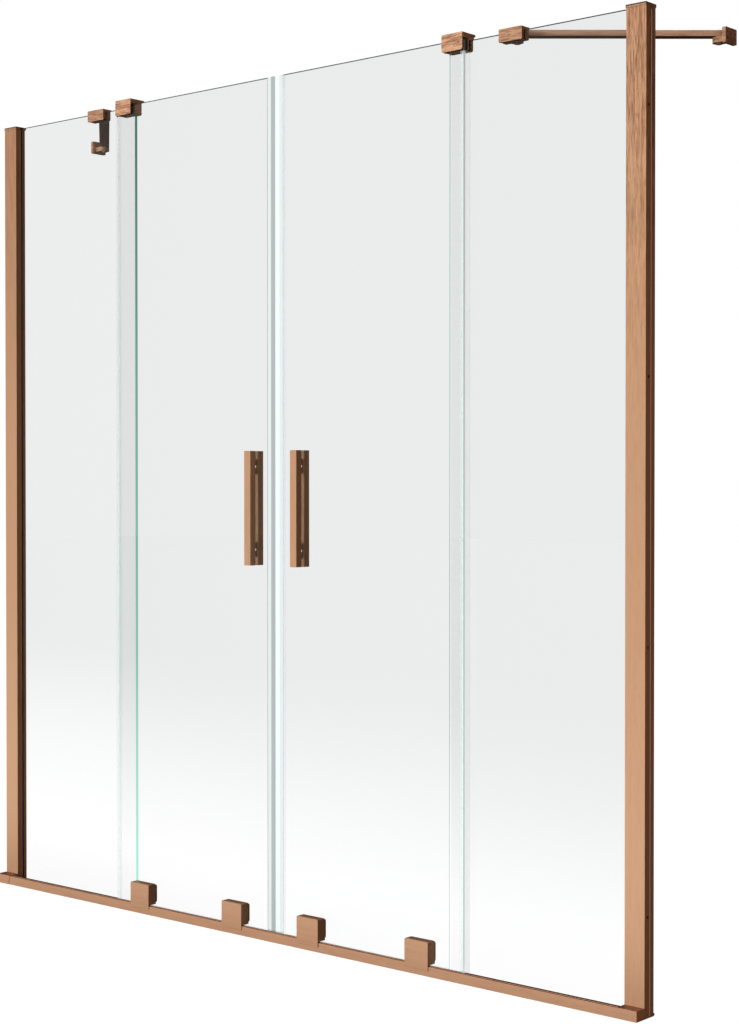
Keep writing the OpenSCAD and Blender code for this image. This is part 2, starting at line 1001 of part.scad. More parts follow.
module right_bottom_seal() { bottom_seal(1); }
module left_outer_handle() { handle_bar(-1, bar_front_y, -1); }
module right_outer_handle() { handle_bar(1, bar_front_y, -1); }
module left_inner_handle() { handle_bar(-1, bar_back_y, 1); }
module right_inner_handle() { handle_bar(1, bar_back_y, 1); }
module left_handle_feet() { handle_feet(-1); }
module right_handle_feet() { handle_feet(1); }
module left_handle_fixings() { handle_fixings(-1); }
module right_handle_fixings() { handle_fixings(1); }
module left_roller_covers() { roller_covers(-1); }
module right_roller_covers() { roller_covers(1); }
module left_carriages() { carriages(-1); }
module right_carriages() { carriages(1); }
module left_backing_plates() { backing_plates(-1); }
module right_backing_plates() { backing_plates(1); }
module left_carriage_screws() { carriage_screws(-1); }
module right_carriage_screws() { carriage_screws(1); }
module left_axles() { axles(-1); }
module right_axles() { axles(1); }
module left_outer_wheel() { wheel(-1, block_u[0]); }
module left_inner_wheel() { wheel(-1, block_u[1]); }
module right_outer_wheel() { wheel(1, block_u[0]); }
module right_inner_wheel() { wheel(1, block_u[1]); }
module left_arm() { arm(-1); }
module right_arm() { arm(1); }
module left_arm_pins() { arm_pins(-1); }
module right_arm_pins() { arm_pins(1); }
module left_wall_bracket() { wall_bracket(-1); }
module right_wall_bracket() { wall_bracket(1); }

left_wall_channel();
right_wall_channel();
left_cover_profile();
right_cover_profile();
left_profile_cap();
right_profile_cap();
glazing_gaskets();
profile_screws();
rail_track();
rail_sill();
left_rail_end();
right_rail_end();
rail_gaskets();
left_fixed_glass();
right_fixed_glass();
left_guide_block();
right_guide_block();
guide_liners();
guide_caps();
guide_screws();
left_arm_clamp();
right_arm_clamp();
clamp_pads();
clamp_screws();
left_door_glass();
left_outer_seal();
left_magnet_seal();
left_bottom_seal();
left_outer_handle();
left_inner_handle();
left_handle_feet();
left_handle_fixings();
left_roller_covers();
left_carriages();
left_backing_plates();
left_carriage_screws();
left_axles();
left_outer_wheel();
left_inner_wheel();
right_door_glass();
right_outer_seal();
right_magnet_seal();
right_bottom_seal();
right_outer_handle();
right_inner_handle();
right_handle_feet();
right_handle_fixings();
right_roller_covers();
right_carriages();
right_backing_plates();
right_carriage_screws();
right_axles();
right_outer_wheel();
right_inner_wheel();
left_arm();
right_arm();
left_arm_pins();
right_arm_pins();
left_wall_bracket();
right_wall_bracket();
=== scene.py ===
import math

import bmesh
import bpy
from mathutils import Matrix, Vector


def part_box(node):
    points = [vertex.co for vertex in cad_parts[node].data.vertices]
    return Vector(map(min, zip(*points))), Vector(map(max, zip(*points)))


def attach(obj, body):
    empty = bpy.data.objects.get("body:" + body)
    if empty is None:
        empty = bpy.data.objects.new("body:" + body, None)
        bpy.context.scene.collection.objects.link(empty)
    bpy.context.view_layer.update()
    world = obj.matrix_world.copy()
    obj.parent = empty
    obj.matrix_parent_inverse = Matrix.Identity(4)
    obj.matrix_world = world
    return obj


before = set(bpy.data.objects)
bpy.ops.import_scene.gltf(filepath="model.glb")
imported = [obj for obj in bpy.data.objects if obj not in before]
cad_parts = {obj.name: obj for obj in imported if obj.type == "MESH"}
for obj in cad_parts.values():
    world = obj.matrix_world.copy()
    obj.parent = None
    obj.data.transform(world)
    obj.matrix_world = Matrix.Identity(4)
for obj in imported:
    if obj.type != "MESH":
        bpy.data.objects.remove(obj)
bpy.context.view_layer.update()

# Wall posts: a channel screwed to the wall, a cover profile pushed over it and a cap on top.
# Extruded aluminium with a copper coloured lacquer over a long brushed grain that runs upwards
# and grows stronger towards the top. The cap's rim carries painted shade, a dark line just under
# its top.
COPPER_LIGHT = (0.650, 0.390, 0.232, 1)
COPPER_DARK = (0.220, 0.082, 0.036, 1)
COPPER_ROUGHNESS = 0.34
COPPER_METALLIC = 0.5
GRAIN_SIZE = (1.45, 0.09)
BAND_SCALE = 110
STREAK_SCALE = 320
FINE_SCALE = 1100
STREAK_SHARE = 0.68
FINE_SHARE = 0.2
GRAIN_TONES = (0.41, 0.55)
GRAIN_RISE_Z = (0.8, 1.5)
GRAIN_DEPTH = (0.12, 0.9)
PLAIN_DEPTH = 0.42
GRAIN_ROUGHNESS = 0.18
GRAIN_BUMP = 0.3
GRAIN_BUMP_HEIGHT = 0.0003
LEFT_POST_GRAIN = 0.3
CAP_GRAIN = 0.5
CAP_SHADE_Z = 1.4979
CAP_SHADE_FACING = 0.9
CAP_RIM_SHADE = (0.085, 0.062, 0.045, 1)
EDGE_BEVEL = 0.0005
BEVEL_ANGLE = math.radians(40)
WELD_DISTANCE = 0.00001
FLAT_ANGLE = math.radians(0.5)


def feed(links, source, socket):
    """Links a socket to another one, or writes a plain value into it."""
    if isinstance(source, bpy.types.NodeSocket):
        links.new(source, socket)
    else:
        socket.default_value = source


def new_material(name):
    """A material with its nodes, its links and its shader."""
    material = bpy.data.materials.new(name)
    material.use_nodes = True
    tree = material.node_tree
    return material, tree.nodes, tree.links, tree.nodes["Principled BSDF"]


def place_of(nodes):
    """Where a point lies, in the coordinates of the whole screen."""
    return nodes.new("ShaderNodeTexCoord").outputs["Object"]


def facing_of(nodes):
    """Which way a flat face looks."""
    return nodes.new("ShaderNodeNewGeometry").outputs["True Normal"]


def part_of(nodes, links, vector, axis):
    """The part of a vector along one axis."""
    parts = nodes.new("ShaderNodeSeparateXYZ")
    links.new(vector, parts.inputs["Vector"])
    return parts.outputs[axis]


def calculated(nodes, links, operation, *terms):
    """The result of one step of arithmetic."""
    step = nodes.new("ShaderNodeMath")
    step.operation = operation
    for term, socket in zip(terms, step.inputs):
        feed(links, term, socket)
    return step.outputs["Value"]


def mapped(nodes, links, value, source=(0.0, 1.0), target=(0.0, 1.0), smooth=False):
    """A value moved from one range to another and kept inside it."""
    ramp = nodes.new("ShaderNodeMapRange")
    if smooth:
        ramp.interpolation_type = "SMOOTHSTEP"
    links.new(value, ramp.inputs["Value"])
    for limit, socket in zip((*source, *target), ("From Min", "From Max", "To Min", "To Max")):
        feed(links, limit, ramp.inputs[socket])
    return ramp.outputs["Result"]


def mixed(nodes, links, factor, first, second, kind="RGBA"):
    """A mix of two colours, or of two values if kind is FLOAT."""
    mix = nodes.new("ShaderNodeMix")
    mix.data_type = kind
    for source, socket in ((factor, "Factor"), (first, "A"), (second, "B")):
        feed(links, source, mix.inputs[socket])
    return mix.outputs["Result"]


def noise(nodes, links, vector, scale, detail=2.0, roughness=0.5, distortion=0.0):
    """A value that varies over the surface in soft clouds."""
    texture = nodes.new("ShaderNodeTexNoise")
    texture.inputs["Scale"].default_value = scale
    texture.inputs["Detail"].default_value = detail
    texture.inputs["Roughness"].default_value = roughness
    texture.inputs["Distortion"].default_value = distortion
    links.new(vector, texture.inputs["Vector"])
    return texture.outputs["Fac"]


def bumped(nodes, links, shader, height, strength, distance):
    """Gives a material's surface a fine relief."""
    bump = nodes.new("ShaderNodeBump")
    bump.inputs["Strength"].default_value = strength
    bump.inputs["Distance"].default_value = distance
    links.new(height, bump.inputs["Height"])
    links.new(bump.outputs["Normal"], shader.inputs["Normal"])


def zone(nodes, links, vector, axis, test, limit):
    """A mask that is 1 where the vector's part along axis, or its size, passes the test."""
    value = part_of(nodes, links, vector, axis[-1])
    if axis.startswith("size of "):
        value = calculated(nodes, links, "ABSOLUTE", value)
    return calculated(nodes, links, test, value, limit)


def effect(name, inputs, outputs):
    """A node group with its nodes, its links, what it is given and what it puts out."""
    group = bpy.data.node_groups.new(name, "ShaderNodeTree")
    for in_out, sockets in (("INPUT", inputs), ("OUTPUT", outputs)):
        for socket, kind in sockets.items():
            group.interface.new_socket(socket, in_out=in_out, socket_type=f"NodeSocket{kind}")
    given = group.nodes.new("NodeGroupInput").outputs
    result = group.nodes.new("NodeGroupOutput").inputs
    return group, group.nodes, group.links, given, result


def placed(nodes, links, group, **values):
    """Puts a node group in a material with values of its own."""
    node = nodes.new("ShaderNodeGroup")
    node.node_tree = group
    for name, value in values.items():
        feed(links, value, node.inputs[name])
    return node.outputs


def brushed_grain():
    """Node group: wavy lines and streaks along one axis, stronger towards the top."""
    group, nodes, links, given, result = effect(
        "Brushed grain",
        {"Stretch": "Vector", "Turn": "Float", "Light": "Color", "Dark": "Color",
         "Roughness": "Float", "Grain": "Float"},
        {"Color": "Color", "Roughness": "Float", "Height": "Float"})
    place = place_of(nodes)
    turned = nodes.new("ShaderNodeVectorRotate")
    turned.rotation_type = "Z_AXIS"
    links.new(place, turned.inputs["Vector"])
    links.new(given["Turn"], turned.inputs["Angle"])
    stretched = nodes.new("ShaderNodeVectorMath")
    stretched.operation = "MULTIPLY"
    links.new(turned.outputs["Vector"], stretched.inputs[0])
    links.new(given["Stretch"], stretched.inputs[1])
    grain = stretched.outputs["Vector"]
    bands = noise(nodes, links, grain, BAND_SCALE, distortion=0.4)
    streaks = noise(nodes, links, grain, STREAK_SCALE, detail=3, roughness=0.65, distortion=0.6)
    fine = noise(nodes, links, grain, FINE_SCALE, roughness=0.7)
    coarse = mixed(nodes, links, STREAK_SHARE, bands, streaks, "FLOAT")
    tone = mixed(nodes, links, FINE_SHARE, coarse, fine, "FLOAT")
    darkness = calculated(nodes, links, "SUBTRACT", 1.0, mapped(nodes, links, tone, GRAIN_TONES))
    evened = mixed(nodes, links, given["Grain"], PLAIN_DEPTH, darkness, "FLOAT")
    depth = mapped(nodes, links, part_of(nodes, links, place, "Z"), GRAIN_RISE_Z, GRAIN_DEPTH,
                   smooth=True)
    strength = calculated(nodes, links, "MULTIPLY", evened, depth)
    links.new(mixed(nodes, links, strength, given["Light"], given["Dark"]), result["Color"])
    links.new(calculated(nodes, links, "MULTIPLY_ADD", streaks, GRAIN_ROUGHNESS,
                         given["Roughness"]), result["Roughness"])
    links.new(tone, result["Height"])
    return group


def painted_cap_shade():
    """Node group: painted shade, a dark line round a cap's upright faces just under its top."""
    group, nodes, links, given, result = effect("Painted cap shade", {"Color": "Color"},
                                                {"Color": "Color"})
    near_top = zone(nodes, links, place_of(nodes), "Z", "GREATER_THAN", CAP_SHADE_Z)
    on_rim = zone(nodes, links, facing_of(nodes), "Z", "LESS_THAN", CAP_SHADE_FACING)
    shaded_rim = calculated(nodes, links, "MULTIPLY", near_top, on_rim)
    links.new(mixed(nodes, links, shaded_rim, given["Color"], CAP_RIM_SHADE), result["Color"])
    return group


GRAIN = brushed_grain()
CAP_SHADE_GROUP = painted_cap_shade()


def brushed_copper(name, run, turn=0.0, size=GRAIN_SIZE, strength=1.0, light=COPPER_LIGHT):
    """Copper lacquer whose grain runs along the axis named run, after a turn about Z."""
    material, nodes, links, shader = new_material(name)
    shader.inputs["Metallic"].default_value = COPPER_METALLIC
    stretch = [size[0]] * 3
    stretch["XYZ".index(run)] = size[1]
    grain = placed(nodes, links, GRAIN, Stretch=stretch, Turn=turn, Light=light,
                   Dark=COPPER_DARK, Roughness=COPPER_ROUGHNESS, Grain=strength)
    links.new(grain["Color"], shader.inputs["Base Color"])
    links.new(grain["Roughness"], shader.inputs["Roughness"])
    bumped(nodes, links, shader, grain["Height"], GRAIN_BUMP, GRAIN_BUMP_HEIGHT)
    return material


def tinted(material, group, **values):
    """Passes a material's colour through a node group that tints a part of the surface."""
    nodes, links = material.node_tree.nodes, material.node_tree.links
    base = nodes["Principled BSDF"].inputs["Base Color"]
    tint = placed(nodes, links, group, Color=base.links[0].from_socket, **values)
    links.new(tint["Color"], base)
    return material


def join_flat_faces(piece):
    """Closes the mesh and makes each flat face one polygon, so that a bevel runs cleanly."""
    weld = piece.modifiers.new("Joined points", "WELD")
    weld.merge_threshold = WELD_DISTANCE
    flat = piece.modifiers.new("Joined faces", "DECIMATE")
    flat.decimate_type = "DISSOLVE"
    flat.angle_limit = FLAT_ANGLE


def finish(node, material, bevel=0.0):
    """Gives a piece its material and, where bevel is set, softly broken edges."""
    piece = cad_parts[node]
    piece.data.materials.clear()
    piece.data.materials.append(material)
    if bevel:
        join_flat_faces(piece)
        edges = piece.modifiers.new("Broken edges", "BEVEL")
        edges.width = bevel
        edges.segments = 2
        edges.limit_method = "ANGLE"
        edges.angle_limit = BEVEL_ANGLE
        edges.harden_normals = True
    return piece


upright_copper = brushed_copper("Copper, upright grain", "Z")
even_copper = brushed_copper("Copper, even grain", "Z", strength=LEFT_POST_GRAIN)
for side, copper in (("left", even_copper), ("right", upright_copper)):
    # The cap's rim gets a painted shadow line just under its top.
    cap_copper = tinted(brushed_copper(f"Copper, {side} cap", "Z", strength=CAP_GRAIN),
                        CAP_SHADE_GROUP)
    finish(f"{side}_wall_channel", copper, EDGE_BEVEL)
    finish(f"{side}_cover_profile", copper, EDGE_BEVEL)
    finish(f"{side}_profile_cap", cap_copper, EDGE_BEVEL)

# Wall seals and feet: a soft cord lies in the groove on the wall side of each post, and a small
# black rubber foot is pressed on behind it at the bottom. The pale cord glows a little, painted
# light for the light line along the groove.
WALL_X = 0.750
WALL_GAP = 0.0001
GROOVE_Y = 0.0145
CORD_HALF = 0.00065
CORD_DEEP = 0.00055
CORD_STEPS = 6
CORD_BOTTOM = 0.003
CORD_LENGTH = 1.488
CORD_COLOUR = (0.90, 0.80, 0.70, 1)
CORD_WORN = (0.80, 0.70, 0.60, 1)
CORD_ROUGHNESS = 0.5
CORD_PAINTED_GLOW = (1.0, 0.70, 0.52, 1)
CORD_PAINTED_GLOW_STRENGTH = 0.15
POST_BACK = 0.025
FOOT_SIDE = 0.716
FOOT_GAP = 0.0005
FOOT_END = WALL_X - FOOT_GAP
FOOT_OUTLINE = ((POST_BACK, 0.0002), (0.0282, 0.0002), (0.0286, 0.0006), (0.0286, 0.0034),
                (0.0278, 0.0044), (0.0262, 0.0048), (POST_BACK, 0.0048))
FOOT_BEVEL = 0.0006
FOOT_RUBBER = (0.020, 0.020, 0.016, 1)
FOOT_RUBBER_WORN = (0.034, 0.032, 0.028, 1)
FOOT_ROUGHNESS = 0.6
SKIN_SCALE = 900
SKIN_SPREAD = 0.08
SKIN_BUMP = 0.15
SKIN_BUMP_HEIGHT = 0.0002


def moulded_skin():
    """Node group: the fine grained skin of moulded rubber or nylon."""
    group, nodes, links, given, result = effect(
        "Moulded skin", {"New": "Color", "Worn": "Color", "Roughness": "Float"},
        {"Color": "Color", "Roughness": "Float", "Height": "Float"})
    skin = noise(nodes, links, place_of(nodes), SKIN_SCALE, detail=3)
    links.new(mixed(nodes, links, skin, given["New"], given["Worn"]), result["Color"])
    spread = mapped(nodes, links, skin, target=(-SKIN_SPREAD, SKIN_SPREAD))
    links.new(calculated(nodes, links, "ADD", given["Roughness"], spread), result["Roughness"])
    links.new(skin, result["Height"])
    return group


SKIN = moulded_skin()


def moulded(name, colour, worn, roughness):
    """Moulded rubber or nylon."""
    material, nodes, links, shader = new_material(name)
    skin = placed(nodes, links, SKIN, New=colour, Worn=worn, Roughness=roughness)
    links.new(skin["Color"], shader.inputs["Base Color"])
    links.new(skin["Roughness"], shader.inputs["Roughness"])
    bumped(nodes, links, shader, skin["Height"], SKIN_BUMP, SKIN_BUMP_HEIGHT)
    return material


def glowing(material, colour, strength):
    """Gives a material a little light of its own, so that it isn't black in the shade."""
    shader = material.node_tree.nodes["Principled BSDF"]
    shader.inputs["Emission Color"].default_value = colour
    shader.inputs["Emission Strength"].default_value = strength
    return material


def extruded(name, outline, start, length, axis):
    """A piece of one outline, drawn in the two axes after the one it is run along."""
    mesh = bmesh.new()
    turn = {"X": Matrix(((0, 0, 1), (1, 0, 0), (0, 1, 0))), "Z": Matrix.Identity(3)}[axis]
    rings = []
    for height in (start, start + length):
        rings.append([mesh.verts.new(turn @ Vector((a, b, height))) for a, b in outline])
    mesh.faces.new(list(reversed(rings[0])))
    mesh.faces.new(rings[1])
    count = len(outline)
    for i in range(count):
        j = (i + 1) % count
        mesh.faces.new((rings[0][i], rings[0][j], rings[1][j], rings[1][i]))
    bmesh.ops.recalc_face_normals(mesh, faces=mesh.faces)
    data = bpy.data.meshes.new(name)
    mesh.to_mesh(data)
    mesh.free()
    piece = bpy.data.objects.new(name, data)
    bpy.context.collection.objects.link(piece)
    return piece


# Painted light: the cord glows a little, so that the groove shows a light line.
glowing_cord = glowing(moulded("Wall cord", CORD_COLOUR, CORD_WORN, CORD_ROUGHNESS),
                      CORD_PAINTED_GLOW, CORD_PAINTED_GLOW_STRENGTH)
foot_rubber = moulded("Foot rubber", FOOT_RUBBER, FOOT_RUBBER_WORN, FOOT_ROUGHNESS)
for side, sign in (("left", -1), ("right", 1)):
    crown = []
    for step in range(CORD_STEPS + 1):
        angle = math.pi * step / CORD_STEPS
        crown.append((sign * (WALL_X - WALL_GAP - CORD_DEEP * (1 - math.sin(angle))),
                      GROOVE_Y - CORD_HALF * math.cos(angle)))
    cord = extruded(f"{side}_wall_cord", crown, CORD_BOTTOM, CORD_LENGTH, "Z")
    cord.data.materials.append(glowing_cord)
    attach(cord, "frame")
    foot = extruded(f"{side}_foot", FOOT_OUTLINE, min(sign * FOOT_SIDE, sign * FOOT_END),
                    FOOT_END - FOOT_SIDE, "X")
    foot.data.materials.append(foot_rubber)
    rim = foot.modifiers.new("Soft rim", "BEVEL")
    rim.width = FOOT_BEVEL
    rim.segments = 3
    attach(foot, "frame")

# Bottom rail: a track in front, whose bead guides the wheels, and a flat sill behind it that
# holds the fixed panes, with an end piece in front of each post. Lacquered like the posts, with
# the grain along its length and painted shade, a darker colour, on the faces that look up.
RAIL_LIGHT = (0.730, 0.430, 0.265, 1)
TRACK_TOP_SHADE = (0.150, 0.048, 0.027, 1)
END_TOP_SHADE = (0.30, 0.13, 0.075, 1)
TOP_FACING = 0.5


def painted_level_shade():
    """Node group: painted shade, a darker colour on the faces that look up, or down if Side is
    -1.
    """
    group, nodes, links, given, result = effect(
        "Painted level shade",
        {"Color": "Color", "Tint": "Color", "Side": "Float", "Limit": "Float"},
        {"Color": "Color"})
    upward = part_of(nodes, links, facing_of(nodes), "Z")
    towards = calculated(nodes, links, "MULTIPLY", upward, given["Side"])
    level = calculated(nodes, links, "GREATER_THAN", towards, given["Limit"])
    links.new(mixed(nodes, links, level, given["Color"], given["Tint"]), result["Color"])
    return group


LEVEL_SHADE = painted_level_shade()
# Painted shade on the faces of the rail and its end pieces that look up.
rail_copper = tinted(brushed_copper("Copper, rail", "X", light=RAIL_LIGHT), LEVEL_SHADE,
                     Tint=TRACK_TOP_SHADE, Side=1.0, Limit=TOP_FACING)
end_copper = tinted(brushed_copper("Copper, rail ends", "X", light=RAIL_LIGHT), LEVEL_SHADE,
                    Tint=END_TOP_SHADE, Side=1.0, Limit=TOP_FACING)
finish("rail_track", rail_copper)
finish("rail_sill", rail_copper)
finish("right_rail_end", end_copper)
finish("left_rail_end", end_copper, EDGE_BEVEL)

# Gaskets: soft brown rubber strips that hold the fixed panes in the posts and in the rail, pushed
# in by hand and proud of the metal by a lip. The pads in the arm clamps are clear vinyl.
GASKET = (0.32, 0.20, 0.14, 1)
GASKET_WORN = (0.40, 0.26, 0.18, 1)
RAIL_GASKET = (0.052, 0.024, 0.014, 1)
RAIL_GASKET_WORN = (0.075, 0.036, 0.022, 1)
GASKET_ROUGHNESS = 0.55
VINYL_COLOUR = (0.66, 0.73, 0.73, 1)
# Painted shade: the vinyl's upright side faces are a little darker.
VINYL_EDGE_SHADE = (0.62, 0.70, 0.69, 1)
VINYL_ROUGHNESS = 0.28
CLOUD_SCALE = 25
EDGE_SHADE_FACING = 0.8
PAD_GLOW = 0.0
PAD_COVER = (0.9, 0.96)


def vinyl_clouds():
    """Node group: faint clouds in clear vinyl, and painted shade on the upright side faces."""
    group, nodes, links, given, result = effect(
        "Vinyl clouds",
        {"Face": "Color", "Cut": "Color", "Thin": "Float", "Thick": "Float"},
        {"Color": "Color", "Cover": "Float"})
    shaded_edge = zone(nodes, links, facing_of(nodes), "size of X", "GREATER_THAN", EDGE_SHADE_FACING)
    links.new(mixed(nodes, links, shaded_edge, given["Face"], given["Cut"]), result["Color"])
    clouds = noise(nodes, links, place_of(nodes), CLOUD_SCALE)
    cover = mapped(nodes, links, clouds, target=(given["Thin"], given["Thick"]))
    links.new(cover, result["Cover"])
    return group


CLOUDS = vinyl_clouds()


def clear_vinyl(name, painted_glow, thickness, plain=None):
    """Clear vinyl with painted light, emission of strength painted_glow, and one colour all over
    if plain is set.
    """
    material, nodes, links, shader = new_material(name)
    clouds = placed(nodes, links, CLOUDS, Face=VINYL_COLOUR, Cut=VINYL_EDGE_SHADE, Thin=thickness[0],
                    Thick=thickness[1])
    feed(links, plain or clouds["Color"], shader.inputs["Base Color"])
    feed(links, plain or clouds["Color"], shader.inputs["Emission Color"])
    links.new(clouds["Cover"], shader.inputs["Alpha"])
    shader.inputs["Emission Strength"].default_value = painted_glow
    shader.inputs["Roughness"].default_value = VINYL_ROUGHNESS
    return material


finish("glazing_gaskets", moulded("Gasket rubber", GASKET, GASKET_WORN, GASKET_ROUGHNESS))
finish("rail_gaskets", moulded("Rail rubber", RAIL_GASKET, RAIL_GASKET_WORN,
                               GASKET_ROUGHNESS))
finish("clamp_pads", clear_vinyl("Clear vinyl, thick", PAD_GLOW, PAD_COVER))

# Fixed panes: 6 mm toughened clear glass, ground and polished along the free edge, which looks
# green because the light there comes through the whole width of the pane.
LEFT_GLASS = (0.857, 0.878, 0.876, 1)
RIGHT_GLASS = (0.822, 0.843, 0.836, 1)
LAPPED_GLASS = (0.90, 0.912, 0.908, 1)
# Painted light: low down each pane's tint fades to clear white.
GLASS_LOW_PAINTED_LIGHT = (1.0, 1.0, 1.0, 1)
LEFT_GLASS_FADE_Z = 0.56
RIGHT_GLASS_FADE_Z = 0.42
GLASS_IOR = 1.45
GLASS_SHINE = (0.35, 0.35, 0.35, 1)
LAPPED_X = 0.4125
EDGE_FACING = 0.6
EDGE_HIGH = (0.045, 0.200, 0.138, 1)
EDGE_LOW = (0.470, 0.950, 0.800, 1)
PALE_EDGE_HIGH = (0.48, 0.53, 0.52, 1)
PALE_EDGE_LOW = (0.62, 0.70, 0.68, 1)
EDGE_FADE_Z = (0.02, 1.45)
EDGE_GLOW = 0.95
GUIDE_SHADOW_Z = (1.476, 1.480)
GUIDE_SHADOW_GLOW = (1.0, 0.1)
NO_GLOW = (0, 0, 0, 1)
SHADOW_SHARE = 0.88
GROUND_BAND = 0.0010
GROUND_TINT = (0.12, 0.15, 0.14, 1)
GROUND_WIDTH = 0.0009
GROUND_ANGLE = math.radians(60)
GROUND_DARK = (0.030, 0.042, 0.038, 1)
GROUND_LIGHT = (0.062, 0.085, 0.078, 1)
GROUND_GREEN = (0.11, 0.30, 0.235, 1)
GROUND_PALE = (0.30, 0.41, 0.37, 1)
GROUND_SCALE = 700
GROUND_ROUGHNESS = 0.6
LEVEL_FACING = 0.4


def pane_zones():
    """Node group: a pane's tint, with painted light that fades it to clear low down, the light
    caught in its upright edges, and a painted shadow of the guide block on that light.
    """
    group, nodes, links, given, result = effect(
        "Pane zones",
        {"Tint": "Color", "Lapped": "Color", "Fade": "Float", "High": "Color", "Low": "Color",
         "Band": "Float"},
        {"Color": "Color", "Glow": "Color"})
    place = place_of(nodes)
    height = part_of(nodes, links, place, "Z")
    near_door = zone(nodes, links, place, "size of X", "LESS_THAN", LAPPED_X)
    tint = mixed(nodes, links, near_door, given["Tint"], given["Lapped"])
    risen = mapped(nodes, links, height, (0.0, given["Fade"]), smooth=True)
    face = mixed(nodes, links, risen, GLASS_LOW_PAINTED_LIGHT, tint)
    up_edge = mapped(nodes, links, height, EDGE_FADE_Z)
    edge = mixed(nodes, links, up_edge, given["Low"], given["High"])
    on_edge = zone(nodes, links, facing_of(nodes), "size of X", "GREATER_THAN", EDGE_FACING)
    colour = mixed(nodes, links, on_edge, face, edge)
    on_band = calculated(nodes, links, "GREATER_THAN", height, given["Band"])
    links.new(mixed(nodes, links, on_band, colour, GROUND_TINT), result["Color"])
    # Painted shadow: the light in the edges stops under the guide block.
    guide_shadow = mapped(nodes, links, height, GUIDE_SHADOW_Z, GUIDE_SHADOW_GLOW)
    caught = calculated(nodes, links, "MULTIPLY", on_edge, guide_shadow)
    links.new(mixed(nodes, links, caught, NO_GLOW, edge), result["Glow"])
    return group


def ground_bands():
    """Node group: matt ground bands, dark along the top and of a given colour down the sides."""
    group, nodes, links, given, result = effect("Ground bands", {"Upright": "Color"},
                                                {"Color": "Color"})
    marks = noise(nodes, links, place_of(nodes), GROUND_SCALE)
    dark = mixed(nodes, links, marks, GROUND_DARK, GROUND_LIGHT)
    on_level = zone(nodes, links, facing_of(nodes), "size of Z", "GREATER_THAN", LEVEL_FACING)
    links.new(mixed(nodes, links, on_level, given["Upright"], dark), result["Color"])
    return group


PANE_ZONES = pane_zones()
GROUND_BANDS = ground_bands()


def pane_glass(name, tint, lapped, fade, edge_high, edge_low, top):
    """Clear glass, tinted above the height fade and of the colour lapped behind the doors."""
    material, nodes, links, shader = new_material(name)
    zones = placed(nodes, links, PANE_ZONES, Tint=tint, Lapped=lapped, Fade=fade,
                   High=edge_high, Low=edge_low, Band=top - GROUND_BAND)
    links.new(zones["Color"], shader.inputs["Base Color"])
    links.new(zones["Glow"], shader.inputs["Emission Color"])
    links.new(facing_of(nodes), shader.inputs["Normal"])
    shader.inputs["Roughness"].default_value = 0.0
    shader.inputs["IOR"].default_value = GLASS_IOR
    shader.inputs["Specular Tint"].default_value = GLASS_SHINE
    shader.inputs["Transmission Weight"].default_value = 1.0
    shader.inputs["Emission Strength"].default_value = EDGE_GLOW
    path = nodes.new("ShaderNodeLightPath")
    links.new(calculated(nodes, links, "MULTIPLY_ADD", path.outputs["Is Shadow Ray"],
                         -SHADOW_SHARE, 1.0), shader.inputs["Alpha"])
    return material


def ground_edge(name, upright):
    """The matt edge that is ground along every side of a pane."""
    material, nodes, links, shader = new_material(name)
    bands = placed(nodes, links, GROUND_BANDS, Upright=upright)
    links.new(bands["Color"], shader.inputs["Base Color"])
    shader.inputs["Roughness"].default_value = GROUND_ROUGHNESS
    return material


def pane(node, glass, ground):
    """A pane whose square edges are ground off and have a second material."""
    piece = finish(node, glass)
    piece.data.materials.append(ground)
    join_flat_faces(piece)
    edges = piece.modifiers.new("Ground edges", "BEVEL")
    edges.width = GROUND_WIDTH
    edges.segments = 1
    edges.limit_method = "ANGLE"
    edges.angle_limit = GROUND_ANGLE
    edges.material = 1


fixed_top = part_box("left_fixed_glass")[1][2]
green_ground = ground_edge("Ground glass edge, green", GROUND_GREEN)
pale_ground = ground_edge("Ground glass edge, pale", GROUND_PALE)
pane("left_fixed_glass",
     pane_glass("Left pane glass", LEFT_GLASS, LAPPED_GLASS, LEFT_GLASS_FADE_Z, EDGE_HIGH,
                EDGE_LOW, fixed_top),
     green_ground)
pane("right_fixed_glass",
     pane_glass("Right pane glass", RIGHT_GLASS, LAPPED_GLASS, RIGHT_GLASS_FADE_Z,
                PALE_EDGE_HIGH, PALE_EDGE_LOW, fixed_top),
     pale_ground)

# Door panes: the same glass, drilled for the handles and the roller carriages. They stand on
# their wheels in front of the fixed panes and carry everything that slides.
DOOR_GLASS = (0.836, 0.855, 0.849, 1)
DOOR_GLASS_FADE_Z = 0.46
DOOR_EDGE_HIGH = (0.38, 0.43, 0.42, 1)
DOOR_EDGE_LOW = (0.52, 0.66, 0.62, 1)
door_glass = pane_glass("Door pane glass", DOOR_GLASS, DOOR_GLASS, DOOR_GLASS_FADE_Z,
                        DOOR_EDGE_HIGH, DOOR_EDGE_LOW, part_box("left_door_glass")[1][2])
for side in ("left", "right"):
    pane(f"{side}_door_glass", door_glass, pale_ground)

# Door seals: extruded vinyl pushed onto the glass. A fin on the outer edge brushes the fixed
# pane, a strip with a magnet inside closes the doors and a wiper hangs under each pane.
# Painted light: the seal vinyl and the magnet vinyl glow a little, so that they aren't dark in
# the shade.
SEAL_PAINTED_GLOW = 0.22
SEAL_COVER = (0.09, 0.15)
MAGNET_VINYL = (0.41, 0.455, 0.455, 1)
MAGNET_PAINTED_GLOW = 0.85
MAGNET_COVER = (0.72, 0.82)
BACK_LEG_Y = 0.0015
BACK_LEG_COVER = 0.08
NOSE_X = 0.010
NOSE_COVER = 0.94
LEFT_NOSE = (0.215, 0.248, 0.245, 1)
RIGHT_NOSE = (0.44, 0.50, 0.505, 1)
